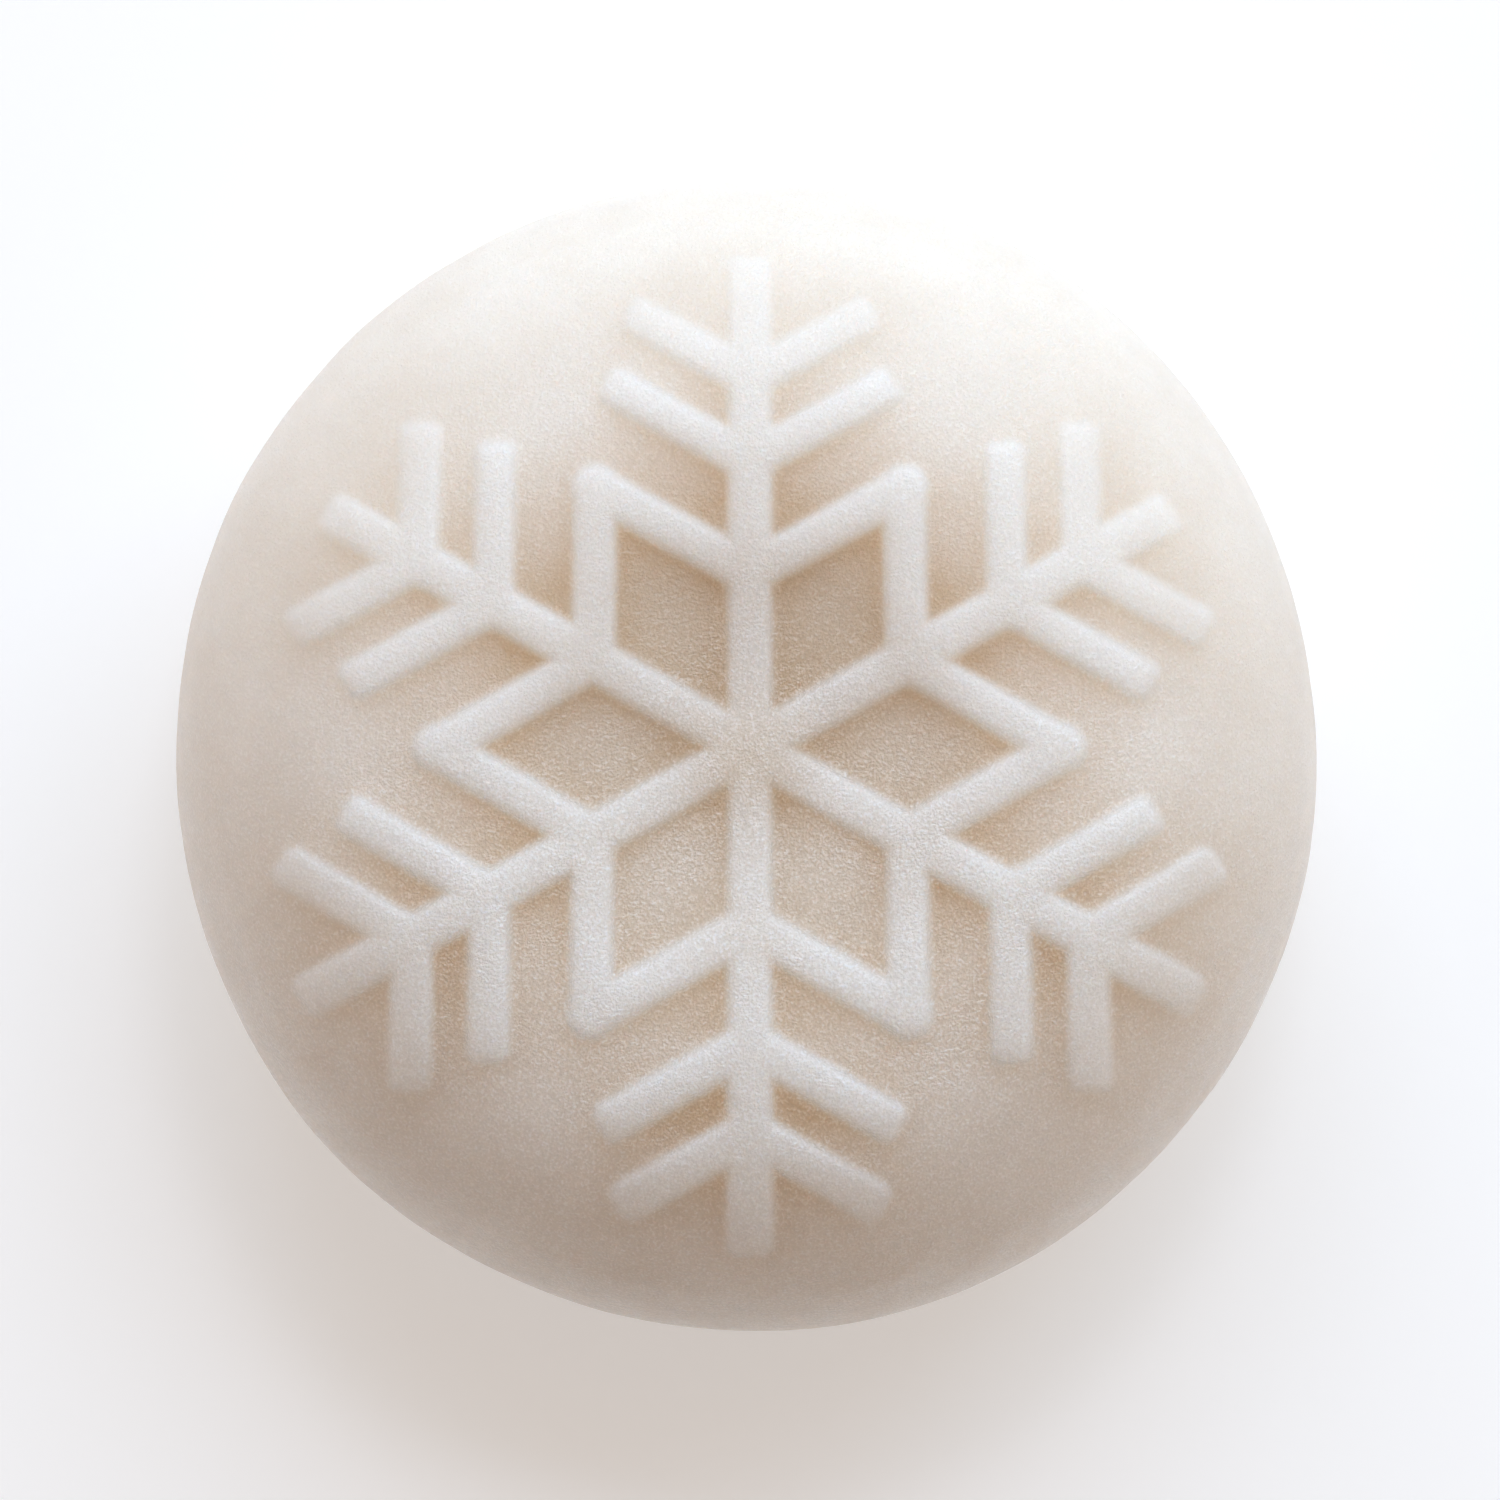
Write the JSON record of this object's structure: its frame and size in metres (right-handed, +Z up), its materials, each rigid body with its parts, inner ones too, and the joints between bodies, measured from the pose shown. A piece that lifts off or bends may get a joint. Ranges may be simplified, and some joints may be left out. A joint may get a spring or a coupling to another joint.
{
  "type": "nerikiri sweet",
  "caption": "Round white bean-paste sweet, a low domed bun with a flat underside and a six-armed snowflake moulded in relief on its top.",
  "frame": {"origin": "on the flat underside, below the middle of the bun", "axes": "+Z up out of the decorated top; +Y towards the arm of the snowflake that points up in the picture; +X to the picture's right"},
  "size_m": [0.045, 0.0453, 0.0223],
  "materials": {
    "white_bean_paste": "smooth moulded paste, off-white, slightly moist with a fine pearly sheen"
  },
  "bodies": {
    "root": {"nerikiri": "white_bean_paste"}
  },
  "joints": []
}
